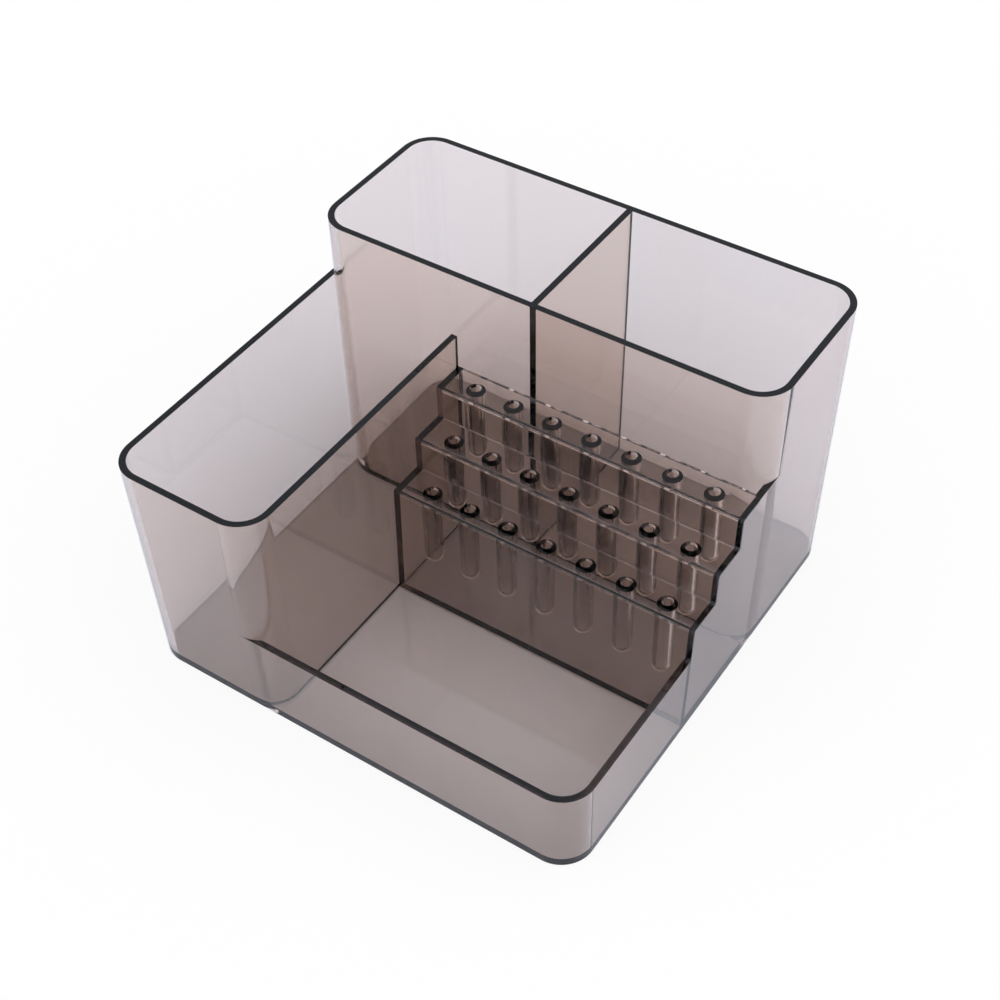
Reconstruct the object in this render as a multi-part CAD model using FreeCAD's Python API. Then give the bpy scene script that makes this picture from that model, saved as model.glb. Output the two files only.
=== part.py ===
"""Clear smoked organiser for brushes and small tools.

A square tray with rounded corners and slightly flared sides. Across the back stands a tall box in two
bays, at the left a lower bay, in front a low tray, and between tray and box a stepped rack with three
rows of sockets, closed at the foot. The rack is hollow, and the base closes it underneath.

Frame: millimetres, +Z up, +X to the right along the front, +Y to the back. The origin is the middle of
the base, on the surface that it stands on.
"""
import FreeCAD, Part
import math
import os

from FreeCAD import Vector

# ---- Driving dimensions, mm ------------------------------------------------------------------------
width = 150.0               # outside, left to right, at the back rim
depth = 150.0               # outside, front to back, at the back rim
rear_height = 96.5          # rim of the two bays at the back
left_height = 75.3          # rim of the bay at the left
tray_height = 29.5          # rim of the low tray
draft = 1.0                 # degrees that the outer sides lean outwards

wall = 2.0                  # outer sides and partitions
floor = 1.55                # base plate
corner_radius = 10.0        # outside, at every upright corner
bond_gap = 0.05             # line of cement between two bonded faces

left_bay_width = 49.9       # outside of the left side to the tray side of its partition, at the rim
rear_bay_depth = 54.6       # outside of the back to the rack side of the box front, at the rim
divider_offset = 0.0        # from the middle of the part to the middle of the rear divider

row_names = ("front", "middle", "rear")
sockets_per_row = 7
first_tread_height = 41.9   # top of the lowest tread
tread_rise = 11.2
tread_run = 11.6
rack_wall = 1.8             # treads, risers and front panel
rack_lean = 1.3             # from the foot of the front panel back to its nosing
crease_radius = 0.3         # where treads, risers and front panel turn
rim_radius = 1.2            # where the rim of the sides turns beside them

socket_bore = 3.4
socket_wall = 1.2
socket_length = 27.5        # from the tread's top to the closed foot
riser_clearance = 0.95      # between a socket and the riser in front of it
left_socket_margin = 9.85   # from the partition to the first axis
right_socket_margin = 8.65  # from the last axis to the inside of the right side, at the base

# ---- Worked out from them --------------------------------------------------------------------------
flare = rear_height * math.tan(math.radians(draft))
far = width + depth + rear_height     # outside the part in every direction
overrun = 1.0                           # how far a cut runs past a face
wall_foot = floor + bond_gap
partition_x = left_bay_width - width / 2
bay_arc_x = partition_x - corner_radius
box_front_y = depth / 2 - rear_bay_depth
box_arc_y = box_front_y + corner_radius
nosings = [
    Vector(0, box_front_y + (row - len(row_names)) * tread_run, first_tread_height + row * tread_rise)
    for row in range(len(row_names))
]
rack_foot = Vector(0, nosings[0].y - rack_lean, wall_foot)
socket_radius = socket_bore / 2 + socket_wall
socket_setback = rack_wall + riser_clearance + socket_radius


# ---- Shapes that several pieces share --------------------------------------------------------------
def slab(low, high):
    """Upright box between two opposite corners."""
    size = [b - a for a, b in zip(low, high)]
    return Part.makeBox(*size, Vector(*low))


def flared_block(inset, right=None, front=None):
    """Solid from base to back rim with rounded upright corners, inset from the outer sides. A side that
    is given is an upright plane in their place, inset like them."""
    rings = []
    for z, spread in ((0, -flare), (rear_height, 0)):
        half_width = width / 2 + spread
        half_depth = depth / 2 + spread
        x0 = inset - half_width
        x1 = (half_width if right is None else right) - inset
        y0 = (-half_depth if front is None else front) + inset
        y1 = half_depth - inset
        rings.append([Vector(x0, y0, z), Vector(x1, y0, z), Vector(x1, y1, z), Vector(x0, y1, z)])
    foot, rim = rings
    outlines = [foot[::-1], rim]
    for here, following in ((0, 1), (1, 2), (2, 3), (3, 0)):
        outlines.append([foot[here], foot[following], rim[following], rim[here]])
    faces = [Part.Face(Part.makePolygon(outline + outline[:1])) for outline in outlines]
    block = Part.makeSolid(Part.makeShell(faces))
    uprights = [edge for edge in block.Edges if abs(edge.tangentAt(edge.FirstParameter).z) > 0.5]
    return block.makeFillet(corner_radius - inset, uprights)


def rounded_path(points, radii):
    """Edges through the points, with an arc of its own radius at each point between the ends."""
    edges = []
    last = points[0]
    for before, corner, after, radius in zip(points, points[1:], points[2:], radii):
        back = (before - corner).normalize()
        ahead = (after - corner).normalize()
        half_angle = back.getAngle(ahead) / 2
        if radius > 0:
            start = corner + back * (radius / math.tan(half_angle))
            end = corner + ahead * (radius / math.tan(half_angle))
            inward = (back + ahead).normalize()
            middle = corner + inward * (radius / math.sin(half_angle) - radius)
            edges.append(Part.LineSegment(last, start).toShape())
            edges.append(Part.Arc(start, middle, end).toShape())
            last = end
        else:
            edges.append(Part.LineSegment(last, corner).toShape())
            last = corner
    edges.append(Part.LineSegment(last, points[-1]).toShape())
    return edges


def prism(edges, x0, x1):
    """Profile in the plane across the rack, closed by a line, from x0 to x1."""
    start = edges[0].firstVertex(True).Point
    end = edges[-1].lastVertex(True).Point
    if start.distanceToPoint(end) > 1e-6:
        edges = edges + [Part.LineSegment(end, start).toShape()]
    face = Part.Face(Part.Wire(edges))
    face.translate(Vector(x0, 0, 0))
    return face.extrude(Vector(x1 - x0, 0, 0))


def stair_points():
    """Corners of the treads and risers, from the lowest nosing to the highest."""
    points = [nosings[0]]
    for lower, upper in zip(nosings, nosings[1:]):
        points.append(Vector(0, upper.y, lower.z))
        points.append(upper)
    return points


def below_rim(clearance):
    """Space under the top edge of the outer sides, grown by the clearance."""
    grow = Vector(0, -clearance, clearance)
    top = rear_height + overrun
    right_rim = [Vector(0, -far, tray_height), Vector(0, nosings[0].y, tray_height)] + stair_points()
    steps = len(right_rim) - 1
    right_rim += [Vector(0, box_arc_y, nosings[-1].z), Vector(0, box_arc_y, top)]
    left_rim = [Vector(0, -far, left_height), Vector(0, box_arc_y, left_height), Vector(0, box_arc_y, top)]
    halves = []
    sections = ((right_rim, steps, bay_arc_x, far), (left_rim, 0, -far, bay_arc_x + clearance))
    for rim, rounded, x0, x1 in sections:
        path = [point + grow for point in rim + [Vector(0, far, top)]]
        radii = [rim_radius] * rounded + [0] * (len(path) - 2 - rounded)
        corners = [path[-1], Vector(0, far, -overrun), Vector(0, -far, -overrun), path[0]]
        edges = rounded_path(path, radii)
        edges += [Part.LineSegment(a, b).toShape() for a, b in zip(corners, corners[1:])]
        halves.append(prism(edges, x0, x1))
    return halves[0].fuse(halves[1])


def side_space(clearance):
    """Everything outside the inner faces of the outer sides and under their rim, grown by the clearance."""
    around = slab((-far, -far, -overrun), (far, far, rear_height + overrun))
    return around.cut(flared_block(wall + clearance)).common(below_rim(clearance))


def above_base(shape):
    return shape.common(slab((-far, -far, wall_foot), (far, far, rear_height)))


# ---- The pieces ------------------------------------------------------------------------------------
def base_plate():
    """Bottom of the bays, the tray and the rack."""
    return flared_block(0).common(slab((-far, -far, 0), (far, far, floor)))


def outer_sides():
    """One closed band with four rounded corners. Its rim steps down to the left bay and the tray, and
    follows the treads at the right."""
    return above_base(flared_block(0)).common(side_space(0))


def rear_box_front():
    """Front of the two bays at the back. Its rounded ends meet the outer sides."""
    ring = flared_block(0, front=box_front_y).cut(flared_block(wall, front=box_front_y))
    front = ring.common(slab((-far, -far, wall_foot), (far, box_arc_y - bond_gap, rear_height)))
    return front.cut(side_space(bond_gap))


def rear_divider():
    """Upright plate between the two bays at the back."""
    middle = divider_offset
    plate = slab(
        (middle - wall / 2, box_front_y + wall + bond_gap, wall_foot), (middle + wall / 2, far, rear_height)
    )
    return plate.common(flared_block(wall + bond_gap))


def left_bay_partition():
    """Partition from the box to the front side, which it meets in a rounded corner."""
    ring = flared_block(0, right=partition_x).cut(flared_block(wall, right=partition_x))
    reach = slab(
        (bay_arc_x + bond_gap, -far, wall_foot), (far, box_front_y - bond_gap, left_height)
    )
    return ring.common(reach).cut(side_space(bond_gap))


def socket_axes():
    """Name and mouth centre of every socket."""
    first = partition_x + left_socket_margin
    last = width / 2 - flare - wall - right_socket_margin
    pitch = (last - first) / (sockets_per_row - 1)
    for row_name, nosing in zip(row_names, nosings):
        for index in range(sockets_per_row):
            mouth = Vector(first + index * pitch, nosing.y + socket_setback, nosing.z)
            yield f"{row_name}_socket_{index + 1}", mouth


def stepped_rack():
    """Front panel, treads and risers as one folded sheet, bored for the sockets."""
    top = [rack_foot] + stair_points() + [Vector(0, box_front_y - bond_gap, nosings[-1].z)]
    lean = math.atan2(rack_lean, nosings[0].z - wall_foot)
    heel = rack_foot + Vector(0, rack_wall / math.cos(lean), 0)
    inner_nosing = Vector(0, 0, nosings[0].z - rack_wall)
    inner_nosing.y = heel.y + (inner_nosing.z - heel.z) * math.tan(lean)
    under = [heel, inner_nosing] + [point + Vector(0, rack_wall, -rack_wall) for point in stair_points()[1:]]
    under.append(Vector(0, box_front_y - bond_gap, nosings[-1].z - rack_wall))
    top_edges = rounded_path(top, [crease_radius] * (len(top) - 2))
    under_edges = rounded_path(under, [crease_radius] * (len(under) - 2))
    back_edge = Part.LineSegment(top[-1], under[-1]).toShape()
    foot_edge = Part.LineSegment(under[0], top[0]).toShape()
    profile = Part.Wire(Part.sortEdges(top_edges + [back_edge] + under_edges + [foot_edge])[0])
    sheet = Part.Face(profile)
    sheet.translate(Vector(partition_x + bond_gap, 0, 0))
    rack = sheet.extrude(Vector(far, 0, 0)).common(flared_block(wall + bond_gap))
    bores = [
        Part.makeCylinder(
            socket_radius + bond_gap, rack_wall + 2 * overrun, mouth - Vector(0, 0, rack_wall + overrun)
        )
        for _, mouth in socket_axes()
    ]
    return rack.cut(bores)


def socket(mouth):
    """Tube closed at the foot, set through its tread with its mouth flush."""
    foot = mouth - Vector(0, 0, socket_length)
    bore = Part.makeCylinder(socket_bore / 2, socket_length, foot + Vector(0, 0, socket_wall))
    return Part.makeCylinder(socket_radius, socket_length, foot).cut(bore)


# ---- Every piece is written as one node ------------------------------------------------------------
pieces = {
    "base_plate": base_plate(),
    "outer_sides": outer_sides(),
    "rear_box_front": rear_box_front(),
    "rear_divider": rear_divider(),
    "left_bay_partition": left_bay_partition(),
    "stepped_rack": stepped_rack(),
}
pieces.update({name: socket(mouth) for name, mouth in socket_axes()})

os.makedirs("parts", exist_ok=True)
for name, shape in pieces.items():
    shape.exportStep(f"parts/{name}.step")
    box = shape.BoundBox
    print(
        f"{name:20s} solids {len(shape.Solids)} valid {shape.isValid()} volume {shape.Volume:9.1f}",
        f"x {box.XMin:7.2f} {box.XMax:7.2f} y {box.YMin:7.2f} {box.YMax:7.2f}",
        f"z {box.ZMin:6.2f} {box.ZMax:6.2f}",
    )
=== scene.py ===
"""Smoked clear organiser with a stepped brush rack: looks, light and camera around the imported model.

The real thing is one moulding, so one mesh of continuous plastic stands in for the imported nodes. It is
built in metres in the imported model's frame: +Z up, +X to the right along the front, +Y to the back.
"""

import math

import bmesh
import bpy
from mathutils import Matrix, Vector


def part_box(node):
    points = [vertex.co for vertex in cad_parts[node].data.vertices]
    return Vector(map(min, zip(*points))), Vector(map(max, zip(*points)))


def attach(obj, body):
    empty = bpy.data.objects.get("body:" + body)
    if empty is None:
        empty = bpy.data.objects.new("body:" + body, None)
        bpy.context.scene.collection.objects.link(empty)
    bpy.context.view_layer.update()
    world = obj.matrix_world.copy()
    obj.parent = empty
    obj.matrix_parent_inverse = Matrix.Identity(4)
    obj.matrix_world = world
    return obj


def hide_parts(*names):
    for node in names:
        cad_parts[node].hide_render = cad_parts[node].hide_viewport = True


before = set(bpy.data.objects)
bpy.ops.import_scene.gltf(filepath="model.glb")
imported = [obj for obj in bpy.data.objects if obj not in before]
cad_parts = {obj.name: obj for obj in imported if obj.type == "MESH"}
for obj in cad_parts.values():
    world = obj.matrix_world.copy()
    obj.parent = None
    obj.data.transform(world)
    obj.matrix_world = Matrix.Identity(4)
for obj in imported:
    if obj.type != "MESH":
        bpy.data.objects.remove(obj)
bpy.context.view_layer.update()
MM = 0.001

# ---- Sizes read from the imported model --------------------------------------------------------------
sides_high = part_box("outer_sides")[1]
base_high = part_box("base_plate")[1]
divider_low, divider_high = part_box("rear_divider")
partition_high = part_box("left_bay_partition")[1]

REAR_HEIGHT = sides_high[2]
LEFT_HEIGHT = partition_high[2]
HALF_WIDTH = sides_high[0]
HALF_DEPTH = sides_high[1]
WALL = divider_high[0] - divider_low[0]
FLOOR = base_high[2]
PARTITION_X = partition_high[0]
BOX_FRONT_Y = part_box("rear_box_front")[0][1]
# That each side leans out from the foot to the rear rim
FLARE = (HALF_WIDTH - base_high[0]) / (1 - FLOOR / REAR_HEIGHT)

# ---- Sizes that the boxes of the nodes don't give --------------------------------------------------
TRAY_HEIGHT = 29.5 * MM
CORNER_RADIUS = 10 * MM
RACK_WALL = 1.8 * MM
RACK_LEAN = 1.3 * MM
RIM_RADIUS = 1.2 * MM                    # where the rim of the sides turns beside the rack
CREASE_RADIUS = 0.3 * MM                 # where treads, risers and front panel turn
RACK_LINING = 1.5 * MM                   # that the bottom and the partition are thicker under the rack
RACK_GAP = 0.06 * MM                     # between the highest tread and the front of the rear box
SOCKET_WALL = 1.2 * MM
ROWS = ("front", "middle", "rear")
SOCKETS_PER_ROW = 7
LAP = 0.02 * MM                          # that a wall stays inside the outer face it runs along
EDGE_ROUND = 0.008 * MM                  # on every sharp edge; LAP leaves no room for more

NOSING_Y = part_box("stepped_rack")[0][1] + RACK_LEAN
TREAD_RUN = (BOX_FRONT_Y - NOSING_Y) / len(ROWS)
BAY_ARC_X = PARTITION_X - CORNER_RADIUS
BOX_ARC_Y = BOX_FRONT_Y + CORNER_RADIUS

SHARP_FROM = math.radians(35)            # edges that turn by more are corners
SAME_FACE = math.radians(0.3)            # and by less, one flat face
BEYOND = 5 * MM                          # how far a cutting solid runs past a face
FAR = 4 * HALF_WIDTH
CORNER_STEPS = 20                        # facets in a quarter turn of a big corner
STEP_STEPS = 6                           # and of a nosing
SOCKET_STEPS = 40                        # facets round a socket
DOME_STEPS = 9                           # rings in its rounded end

# ---- Plastic, floor and light: colours, and how strong each effect is ------------------------------
PLASTIC_IOR = 1.49
TINT_LOW = (1.0, 0.913, 0.862, 1)        # of a surface, between two neighbouring clouds
TINT_HIGH = (1.0, 0.943, 0.902, 1)
SMOKE_COLOUR = (0.46, 0.34, 0.29, 1)     # of the plastic itself
SMOKE_DENSITY = 113.0
CLOUDS = {"stretch": (1, 1, 0.5), "scale": 40, "detail": 2}
FLOW = {"stretch": (1, 1, 0.12), "scale": 100, "detail": 0}
FLOW_DEPTH = 0.01 * MM
HAZE = 0.12                              # roughness per unit of cloud above CLEAR_BELOW
CLEAR_BELOW = 0.5

GROUND_HALF = 3.0                        # metres
GROUND_Z = -0.2 * MM                     # clear of the underside, so that the two don't flicker
FLOOR_PLAIN = (0.8, 0.8, 0.8, 1)
FLOOR_SEEN = (1.0, 1.0, 1.0, 1)          # mirrored in the plastic or seen through it
FLOOR_LIFT = 0.85                        # share of its white that the camera sees without any shadow

KEY_DIRECTION = (0.8, -0.6, 0.0)
KEY_SHARE = 0.6                          # by which light from there is stronger than the mean
LIGHT_COLOUR = (0.94, 0.99, 1.115, 1)


# ---- Camera ----------------------------------------------------------------------------------------
VIEW_AZIMUTH = math.radians(34.915)      # the camera stands to the right of the front
VIEW_ELEVATION = math.radians(45.285)
VIEW_ROLL = math.radians(-1.634)
VIEW_TARGET = Vector((0.62, 2.29, 37.63)) * MM
VIEW_DISTANCE = 505.7 * MM
FOCAL_LENGTH = 62.71                     # mm, on a sensor SENSOR mm wide
SENSOR = 36.0


def add_camera():
    back = Vector((
        math.sin(VIEW_AZIMUTH) * math.cos(VIEW_ELEVATION),
        -math.cos(VIEW_AZIMUTH) * math.cos(VIEW_ELEVATION),
        math.sin(VIEW_ELEVATION),
    ))
    right = (-back).cross(Vector((0, 0, 1))).normalized()
    up = back.cross(right)
    turned_right = right * math.cos(VIEW_ROLL) + up * math.sin(VIEW_ROLL)
    turned_up = up * math.cos(VIEW_ROLL) - right * math.sin(VIEW_ROLL)
    camera = bpy.data.objects.new("camera", bpy.data.cameras.new("camera"))
    axes = Matrix((turned_right, turned_up, back)).transposed().to_4x4()
    camera.matrix_world = Matrix.Translation(VIEW_TARGET + back * VIEW_DISTANCE) @ axes
    camera.data.lens = FOCAL_LENGTH
    camera.data.sensor_width = SENSOR
    bpy.context.collection.objects.link(camera)
    bpy.context.scene.camera = camera


# ---- Solids ----------------------------------------------------------------------------------------
def solid(vertices, faces):
    """New object with a closed mesh whose faces look outwards."""
    shape = bmesh.new()
    made = [shape.verts.new(vertex) for vertex in vertices]
    for face in faces:
        shape.faces.new([made[index] for index in face])
    bmesh.ops.recalc_face_normals(shape, faces=shape.faces)
    mesh = bpy.data.meshes.new("solid")
    shape.to_mesh(mesh)
    shape.free()
    item = bpy.data.objects.new("solid", mesh)
    bpy.context.collection.objects.link(item)
    return item


def between(rings):
    """Closed solid through rings of as many points each, the first and last of them capped."""
    count = len(rings[0])
    vertices = [point for ring in rings for point in ring]
    faces = [list(range(count)), list(range(len(vertices) - count, len(vertices)))]
    for level in range(len(rings) - 1):
        for here in range(count):
            after = (here + 1) % count
            low, high = level * count, (level + 1) * count
            faces.append((low + here, low + after, high + after, high + here))
    return solid(vertices, faces)


def slab(low, high):
    foot = [(low[0], low[1]), (high[0], low[1]), (high[0], high[1]), (low[0], high[1])]
    return between([[(x, y, z) for x, y in foot] for z in (low[2], high[2])])


def block(inset, low, high, right=None, front=None, draft=0):
    """Flared block with rounded uprights between two heights, inset from the outer sides. A side that is
    given is a plane in their place, inset like them, and it comes forward by draft at the bottom."""
    radius = CORNER_RADIUS - inset
    rings = []
    for z in (low, high):
        spread = FLARE * (z / REAR_HEIGHT - 1)
        x0 = inset - HALF_WIDTH - spread
        x1 = (HALF_WIDTH + spread if right is None else right) - inset
        y0 = (-HALF_DEPTH - spread if front is None else front - draft * (1 - z / REAR_HEIGHT)) + inset
        y1 = HALF_DEPTH + spread - inset
        corners = ((x1, y1, 0), (x0, y1, 1), (x0, y0, 2), (x1, y0, 3))
        ring = []
        for x, y, quarter in corners:
            centre_x = x - math.copysign(radius, x - (x0 + x1) / 2)
            centre_y = y - math.copysign(radius, y - (y0 + y1) / 2)
            for step in range(CORNER_STEPS + 1):
                turn = math.radians(90 * (quarter + step / CORNER_STEPS))
                ring.append((centre_x + radius * math.cos(turn), centre_y + radius * math.sin(turn), z))
        rings.append(ring)
    return between(rings)


def rounded(points, radii, steps):
    """Points along the path with an arc of its own radius at each point between the ends."""
    path = [points[0]]
    for before, corner, after, radius in zip(points, points[1:], points[2:], radii):
        if radius <= 0:
            path.append(corner)
            continue
        back = (before - corner).normalized()
        ahead = (after - corner).normalized()
        half_angle = back.angle(ahead) / 2
        centre = corner + (back + ahead).normalized() * (radius / math.sin(half_angle))
        start = corner + back * (radius / math.tan(half_angle)) - centre
        end = corner + ahead * (radius / math.tan(half_angle)) - centre
        for step in range(steps + 1):
            path.append(centre + start.slerp(end, step / steps) * radius)
    return path + [points[-1]]


def prism(profile, x0, x1):
    """Closed profile of (y, z) points, carried from x0 to x1."""
    return between([[(x, point.x, point.y) for point in profile] for x in (x0, x1)])


def revolved(profile, centre, steps):
    """Solid of (radius, height) points, from the top down to the point on the axis, turned round it."""
    rings = []
    for radius, height in profile[:-1]:
        ring = []
        for step in range(steps):
            turn = math.radians(360 * step / steps)
            ring.append(centre + Vector((radius * math.cos(turn), radius * math.sin(turn), height)))
        rings.append(ring)
    vertices = [point for ring in rings for point in ring] + [centre + Vector((0, 0, profile[-1][1]))]
    faces = [list(range(steps))]
    for level in range(len(rings) - 1):
        for here in range(steps):
            after = (here + 1) % steps
            low, high = level * steps, (level + 1) * steps
            faces.append((low + here, low + after, high + after, high + here))
    last = (len(rings) - 1) * steps
    faces += [(last + here, last + (here + 1) % steps, len(vertices) - 1) for here in range(steps)]
    return solid(vertices, faces)


def applied(item):
    """Item with its modifiers worked into its mesh."""
    graph = bpy.context.evaluated_depsgraph_get()
    mesh = bpy.data.meshes.new_from_object(item.evaluated_get(graph))
    item.modifiers.clear()
    item.data = mesh
    return item


def combined(first, operation, others):
    """First solid changed by all the others, which are used up."""
    tools = bpy.data.collections.new("tools")
    for other in others:
        tools.objects.link(other)
    change = first.modifiers.new("combine", "BOOLEAN")
    change.operation = operation
    change.solver = "EXACT"
    change.operand_type = "COLLECTION"
    change.collection = tools
    applied(first)
    for other in others:
        bpy.data.objects.remove(other)
    bpy.data.collections.remove(tools)
    return first


# ---- The moulding ----------------------------------------------------------------------------------
def tread_heights():
    return [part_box(f"{row}_socket_1")[1][2] for row in ROWS]


def stair_points():
    """Corners of treads and risers as (y, z), from the lowest nosing to the highest."""
    heights = tread_heights()
    points = [Vector((NOSING_Y, heights[0]))]
    for row in range(1, len(ROWS)):
        riser = NOSING_Y + row * TREAD_RUN
        points += [Vector((riser, heights[row - 1])), Vector((riser, heights[row]))]
    return points


def outer_band():
    """Sides and bottom, cut down to a rim that steps from the bays to the tray and along the treads."""
    top = REAR_HEIGHT + BEYOND
    stairs = [Vector((NOSING_Y, TRAY_HEIGHT))] + stair_points()
    right = rounded(
        [Vector((-FAR, TRAY_HEIGHT))] + stairs + [Vector((BOX_ARC_Y, tread_heights()[-1]))],
        [RIM_RADIUS] * len(stairs), STEP_STEPS,
    )
    left = [Vector((-FAR, LEFT_HEIGHT)), Vector((BOX_ARC_Y, LEFT_HEIGHT))]
    band = combined(block(0, 0, REAR_HEIGHT), "DIFFERENCE", [block(WALL, FLOOR, top)])
    above = []
    for rim, x0, x1 in ((right, BAY_ARC_X, FAR), (left, -FAR, BAY_ARC_X)):
        profile = rim + [Vector((BOX_ARC_Y, top)), Vector((-FAR, top))]
        above.append(prism(profile, x0, x1))
    for cutter in above:
        band = combined(band, "DIFFERENCE", [cutter])
    return band


def box_front():
    """Front of the two tall bays, with its rounded ends."""
    ring = combined(
        block(LAP, FLOOR / 2, REAR_HEIGHT, front=BOX_FRONT_Y - LAP, draft=FLARE), "DIFFERENCE",
        [block(WALL, 0, REAR_HEIGHT + BEYOND, front=BOX_FRONT_Y)],
    )
    return combined(ring, "DIFFERENCE", [slab((-FAR, BOX_ARC_Y, -FAR), (FAR, FAR, FAR))])


def divider():
    low = (divider_low[0], BOX_FRONT_Y + WALL / 2, FLOOR / 2)
    plate = slab(low, (divider_high[0], FAR, REAR_HEIGHT + BEYOND))
    return combined(plate, "INTERSECT", [block(WALL / 2, 0, REAR_HEIGHT)])


def partition():
    """Partition of the left bay, with the rounded corner where it meets the front."""
    ring = combined(
        block(LAP, FLOOR / 2, LEFT_HEIGHT, right=PARTITION_X + LAP), "DIFFERENCE",
        [block(WALL, 0, LEFT_HEIGHT + BEYOND, right=PARTITION_X)],
    )
    left = slab((-FAR, -FAR, -FAR), (BAY_ARC_X, FAR, FAR))
    behind = slab((-FAR, BOX_FRONT_Y + WALL / 2, -FAR), (FAR, FAR, FAR))
    ring = combined(ring, "DIFFERENCE", [left])
    return combined(ring, "DIFFERENCE", [behind])


def rack_sheet():
    """Front panel, treads and risers as one folded sheet, from the partition into the right side, with a
    lining on the bottom and the partition under it. Only a hair's breadth parts it from the rear box."""
    heights = tread_heights()
    foot = FLOOR / 2
    back = BOX_FRONT_Y - FLARE * (1 - heights[-1] / REAR_HEIGHT) - RACK_GAP
    stairs = stair_points()
    top = [Vector((NOSING_Y - RACK_LEAN, foot))] + stairs + [Vector((back, heights[-1]))]
    lean = math.atan2(RACK_LEAN, heights[0] - foot)
    heel = top[0] + Vector((RACK_WALL / math.cos(lean), 0))
    inner = Vector((0, heights[0] - RACK_WALL))
    inner.x = heel.x + (inner.y - heel.y) * math.tan(lean)
    under = [heel, inner] + [point + Vector((RACK_WALL, -RACK_WALL)) for point in stairs[1:]]
    under.append(Vector((back, heights[-1] - RACK_WALL)))
    creases = [CREASE_RADIUS] * len(stairs)
    outside = rounded(top, creases, STEP_STEPS)
    sheet = prism(outside + rounded(under, creases, STEP_STEPS)[::-1], PARTITION_X - WALL / 2, FAR)
    end = prism(outside + [Vector((back, foot))], PARTITION_X - WALL / 2, PARTITION_X + RACK_LINING)
    low = (PARTITION_X - WALL / 2, top[0].x + RACK_WALL / 2, foot)
    bottom = slab(low, (FAR, back, FLOOR + RACK_LINING))
    sheet = combined(combined(sheet, "UNION", [end]), "UNION", [bottom])
    return combined(sheet, "INTERSECT", [block(WALL / 2, 0, REAR_HEIGHT)])


def socket_pair(node):
    """Outside of one socket, and its bore."""
    low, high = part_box(node)
    mouth = Vector(((low[0] + high[0]) / 2, (low[1] + high[1]) / 2, high[2]))
    outside = (high[0] - low[0]) / 2
    length = high[2] - low[2]
    shapes = []
    for radius, top in ((outside, -RACK_WALL / 2), (outside - SOCKET_WALL, BEYOND)):
        profile = [(radius, top)]
        for step in range(DOME_STEPS):
            turn = math.radians(90 * step / DOME_STEPS)
            profile.append((radius * math.cos(turn), outside - length - radius * math.sin(turn)))
        profile.append((0, outside - length - radius))
        shapes.append(revolved(profile, mouth, SOCKET_STEPS))
    return shapes


def moulding():
    tubes, bores = [], []
    for row in ROWS:
        for number in range(1, SOCKETS_PER_ROW + 1):
            tube, bore = socket_pair(f"{row}_socket_{number}")
            tubes.append(tube)
            bores.append(bore)
    body = outer_band()
    for part in (box_front(), divider(), partition(), rack_sheet()):
        body = combined(body, "UNION", [part])
    body = combined(body, "UNION", tubes)
    body = combined(body, "DIFFERENCE", bores)
    body.name = "moulding"
    body.data.name = "moulding"
    return body


def edge_finish(body):
    """Fine rounding on the sharp edges, with flat faces that stay flat to the light."""
    shape = bmesh.new()
    shape.from_mesh(body.data)
    bmesh.ops.dissolve_limit(shape, angle_limit=SAME_FACE, verts=shape.verts, edges=shape.edges)
    shape.to_mesh(body.data)
    shape.free()
    body.data.shade_smooth()
    body.data.set_sharp_from_angle(angle=SHARP_FROM)
    bevel = body.modifiers.new("edge_round", "BEVEL")
    bevel.width = EDGE_ROUND
    bevel.segments = 2
    bevel.limit_method = "ANGLE"
    bevel.angle_limit = SHARP_FROM
    weights = body.modifiers.new("flat_faces", "WEIGHTED_NORMAL")
    weights.keep_sharp = True


# ---- Materials -------------------------------------------------------------------------------------
def feed(tree, value, socket):
    """Give the socket a value, or the output of another node."""
    if isinstance(value, bpy.types.NodeSocket):
        tree.links.new(value, socket)
    else:
        socket.default_value = value


def maths(tree, operation, first, second):
    """New math node on two sockets or numbers; its result."""
    node = tree.nodes.new("ShaderNodeMath")
    node.operation = operation
    feed(tree, first, node.inputs[0])
    feed(tree, second, node.inputs[1])
    return node.outputs[0]


def colour_mix(tree, share, first, second):
    """New mix of two colours by the share of the second; its result."""
    node = tree.nodes.new("ShaderNodeMix")
    node.data_type = "RGBA"
    by_name = {socket.identifier: socket for socket in node.inputs}
    feed(tree, share, by_name["Factor_Float"])
    feed(tree, first, by_name["A_Color"])
    feed(tree, second, by_name["B_Color"])
    return next(socket for socket in node.outputs if socket.identifier == "Result_Color")


def noise(tree, position, stretch, scale, detail):
    """Noise over the object's own position, stretched along each axis; its value."""
    mapping = tree.nodes.new("ShaderNodeMapping")
    mapping.inputs["Scale"].default_value = stretch
    tree.links.new(position, mapping.inputs["Vector"])
    texture = tree.nodes.new("ShaderNodeTexNoise")
    texture.inputs["Scale"].default_value = scale
    texture.inputs["Detail"].default_value = detail
    tree.links.new(mapping.outputs[0], texture.inputs["Vector"])
    return texture.outputs["Fac"]


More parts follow.
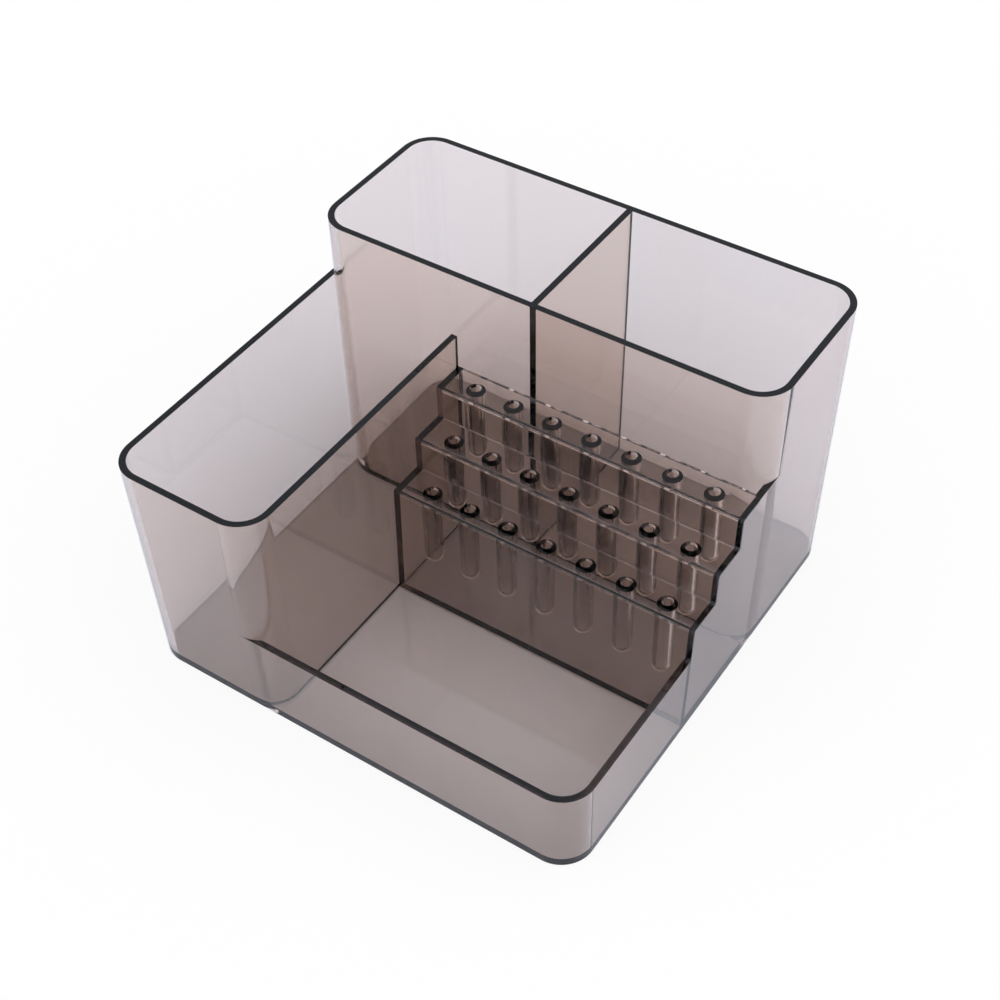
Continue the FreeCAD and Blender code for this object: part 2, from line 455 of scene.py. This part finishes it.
def smoked_plastic():
    """Smoke brown, see-through, with flow lines down the walls, faint colour clouds and handling haze."""
    material = bpy.data.materials.new("smoked_plastic")
    material.use_nodes = True
    tree = material.node_tree
    shader = tree.nodes["Principled BSDF"]
    shader.inputs["IOR"].default_value = PLASTIC_IOR
    shader.inputs["Transmission Weight"].default_value = 1.0
    position = tree.nodes.new("ShaderNodeTexCoord").outputs["Object"]

    clouds = noise(tree, position, **CLOUDS)
    tree.links.new(colour_mix(tree, clouds, TINT_LOW, TINT_HIGH), shader.inputs["Base Color"])

    above = maths(tree, "MAXIMUM", maths(tree, "SUBTRACT", clouds, CLEAR_BELOW), 0)
    tree.links.new(maths(tree, "MULTIPLY", above, HAZE), shader.inputs["Roughness"])

    flow = noise(tree, position, **FLOW)
    bump = tree.nodes.new("ShaderNodeBump")
    bump.inputs["Strength"].default_value = 1.0
    bump.inputs["Distance"].default_value = FLOW_DEPTH
    tree.links.new(flow, bump.inputs["Height"])
    tree.links.new(bump.outputs[0], shader.inputs["Normal"])

    absorption = tree.nodes.new("ShaderNodeVolumeAbsorption")
    absorption.inputs["Color"].default_value = SMOKE_COLOUR
    absorption.inputs["Density"].default_value = SMOKE_DENSITY
    tree.links.new(absorption.outputs["Volume"], tree.nodes["Material Output"].inputs["Volume"])
    return material


def pale_floor():
    """Matt white ground. The camera sees it without the tint of the light and with a faint shadow."""
    material = bpy.data.materials.new("pale_floor")
    material.use_nodes = True
    tree = material.node_tree
    shader = tree.nodes["Principled BSDF"]
    shader.inputs["Roughness"].default_value = 1.0
    shader.inputs["Specular IOR Level"].default_value = 0.0
    shader.inputs["Emission Color"].default_value = (1, 1, 1, 1)
    path = tree.nodes.new("ShaderNodeLightPath").outputs
    seen = maths(tree, "MAXIMUM", path["Is Glossy Ray"], path["Is Transmission Ray"])
    indirect = colour_mix(tree, seen, FLOOR_PLAIN, FLOOR_SEEN)
    neutral = [(1 - FLOOR_LIFT) / part for part in LIGHT_COLOUR[:3]] + [1]
    colour = colour_mix(tree, path["Is Camera Ray"], indirect, neutral)
    tree.links.new(colour, shader.inputs["Base Color"])
    lift = maths(tree, "MULTIPLY", path["Is Camera Ray"], FLOOR_LIFT)
    tree.links.new(lift, shader.inputs["Emission Strength"])
    return material


def add_floor():
    mesh = bpy.data.meshes.new("floor")
    signs = ((-1, -1), (1, -1), (1, 1), (-1, 1))
    corners = [(GROUND_HALF * x, GROUND_HALF * y, GROUND_Z) for x, y in signs]
    mesh.from_pydata(corners, [], [(0, 1, 2, 3)])
    mesh.materials.append(pale_floor())
    floor = bpy.data.objects.new("floor", mesh)
    bpy.context.collection.objects.link(floor)


def add_light():
    """Soft white studio light all round, stronger from the right of the front than from behind."""
    world = bpy.data.worlds.new("studio")
    bpy.context.scene.world = world
    world.use_nodes = True
    tree = world.node_tree
    direction = tree.nodes.new("ShaderNodeTexCoord").outputs["Generated"]
    toward = tree.nodes.new("ShaderNodeVectorMath")
    toward.operation = "DOT_PRODUCT"
    toward.inputs[1].default_value = KEY_DIRECTION
    tree.links.new(direction, toward.inputs[0])
    strength = maths(tree, "ADD", maths(tree, "MULTIPLY", toward.outputs["Value"], KEY_SHARE), 1.0)
    background = tree.nodes["Background"]
    background.inputs["Color"].default_value = LIGHT_COLOUR
    tree.links.new(strength, background.inputs["Strength"])


# ---- The scene -------------------------------------------------------------------------------------
add_camera()
body = moulding()
edge_finish(body)
body.data.materials.clear()
body.data.materials.append(smoked_plastic())
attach(body, "root")
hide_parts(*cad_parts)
add_floor()
add_light()
bpy.context.scene.view_settings.view_transform = "Standard"
